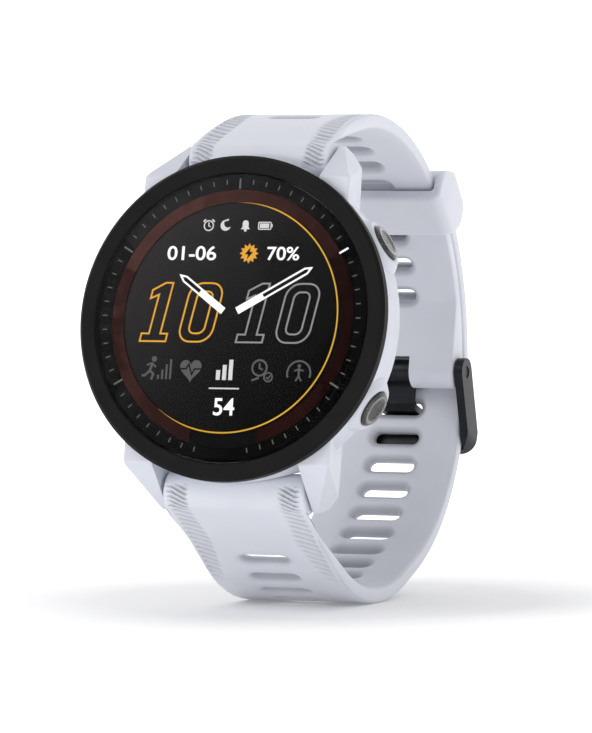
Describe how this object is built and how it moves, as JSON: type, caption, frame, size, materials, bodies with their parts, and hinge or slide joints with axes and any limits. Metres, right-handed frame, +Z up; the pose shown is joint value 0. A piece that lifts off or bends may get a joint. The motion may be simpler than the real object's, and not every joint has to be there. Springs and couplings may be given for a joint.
{
  "type": "gps running watch",
  "caption": "Round GPS running watch with side push buttons, solar-ringed dial, optical wrist sensor and a slotted pale silicone strap closed by a pin buckle and sliding keeper",
  "frame": {"origin": "centre of the flat sensor window on the back of the head, where the watch lies on the wrist", "axes": "+Z is up with the loop standing on its lower strap and the upper strap above, +X is 3 o'clock, the face looks toward -Y and leans back by 11 degrees, so +Y runs through the wrist to the buckle"},
  "size_m": [0.0473, 0.0735, 0.0712],
  "materials": {
    "silicone": "satin",
    "case_polymer": "matte",
    "bezel_polymer": "matte",
    "lens": "polished",
    "ring_print": "matte",
    "solar_cell": "gloss",
    "display": "gloss",
    "gunmetal": "brushed",
    "steel": "brushed",
    "aluminium_frame": "satin",
    "board": "satin",
    "cell_wrap": "satin",
    "seal": "matte",
    "rear_polymer": "matte",
    "sensor_glass": "polished",
    "gold_contact": "polished",
    "led": "gloss"
  },
  "bodies": {
    "watch": {"bezel": "bezel_polymer", "lens_glass": "lens", "minute_ring": "ring_print", "solar_ring": "solar_cell", "lens_gasket": "seal", "case_body": "case_polymer", "display_panel": "display", "backlight": "display", "display_frame": "aluminium_frame", "chassis_plate": "aluminium_frame", "main_board": "board", "shield_cans": "steel", "battery": "cell_wrap", "vibration_motor": "steel", "piezo_beeper": "gold_contact", "pressure_sensor": "steel", "gps_antenna": "steel", "rear_cover": "rear_polymer", "rear_cover_gasket": "seal", "rear_cover_screws": "steel", "sensor_window": "sensor_glass", "sensor_board": "board", "sensor_leds": "led", "charge_contacts": "gold_contact", "button_seals": "seal", "side_switches": "steel", "strap_upper": "silicone", "strap_lower": "silicone", "upper_bar_sleeve": "steel", "upper_bar_spring": "steel", "lower_bar_sleeve": "steel", "lower_bar_spring": "steel"},
    "button_start": {"button_start": "gunmetal", "clip_start": "steel"},
    "button_back": {"button_back": "gunmetal", "clip_back": "steel"},
    "button_down": {"button_down": "gunmetal", "clip_down": "steel"},
    "button_up": {"button_up": "gunmetal", "clip_up": "steel"},
    "button_light": {"button_light": "gunmetal", "clip_light": "steel"},
    "keeper": {"keeper": "silicone"},
    "buckle_frame": {"buckle_frame": "gunmetal", "buckle_pin": "gunmetal"},
    "buckle_tang": {"buckle_tang": "gunmetal"},
    "upper_tip_right": {"upper_tip_right": "steel"},
    "upper_tip_left": {"upper_tip_left": "steel"},
    "lower_tip_right": {"lower_tip_right": "steel"},
    "lower_tip_left": {"lower_tip_left": "steel"}
  },
  "joints": [
    {"name": "start_press", "type": "slide", "parent": "watch", "child": "button_start", "axis": [-0.866, -0.0954, -0.4908], "range_m": [0, 0.0006], "stiffness_N_per_m": 1500},
    {"name": "back_press", "type": "slide", "parent": "watch", "child": "button_back", "axis": [-0.866, 0.0954, 0.4908], "range_m": [0, 0.0006], "stiffness_N_per_m": 1500},
    {"name": "down_press", "type": "slide", "parent": "watch", "child": "button_down", "axis": [0.866, 0.0954, 0.4908], "range_m": [0, 0.0006], "stiffness_N_per_m": 1500},
    {"name": "up_press", "type": "slide", "parent": "watch", "child": "button_up", "axis": [1, 0, 0], "range_m": [0, 0.0006], "stiffness_N_per_m": 1500},
    {"name": "light_press", "type": "slide", "parent": "watch", "child": "button_light", "axis": [0.866, -0.0954, -0.4908], "range_m": [0, 0.0006], "stiffness_N_per_m": 1500},
    {"name": "keeper_slide", "type": "hinge", "parent": "watch", "child": "keeper", "pos_m": [0, 0.0159, -0.00475], "axis": [1, 0, 0], "range_deg": [-15, 8]},
    {"name": "buckle_swing", "type": "hinge", "parent": "watch", "child": "buckle_frame", "pos_m": [0, 0.04953, -0.00698], "axis": [1, 0, 0], "range_deg": [0, 4]},
    {"name": "tang_lift", "type": "hinge", "parent": "buckle_frame", "child": "buckle_tang", "pos_m": [0, 0.04953, -0.00698], "axis": [1, 0, 0], "range_deg": [0, 1]},
    {"name": "upper_tip_right_slide", "type": "slide", "parent": "watch", "child": "upper_tip_right", "axis": [-1, 0, 0], "range_m": [0, 0.00095], "stiffness_N_per_m": 400, "deforming": ["upper_bar_spring"]},
    {"name": "upper_tip_left_slide", "type": "slide", "parent": "watch", "child": "upper_tip_left", "axis": [1, 0, 0], "range_m": [0, 0.00095], "stiffness_N_per_m": 400, "deforming": ["upper_bar_spring"]},
    {"name": "lower_tip_right_slide", "type": "slide", "parent": "watch", "child": "lower_tip_right", "axis": [-1, 0, 0], "range_m": [0, 0.00095], "stiffness_N_per_m": 400, "deforming": ["lower_bar_spring"]},
    {"name": "lower_tip_left_slide", "type": "slide", "parent": "watch", "child": "lower_tip_left", "axis": [1, 0, 0], "range_m": [0, 0.00095], "stiffness_N_per_m": 400, "deforming": ["lower_bar_spring"]}
  ]
}
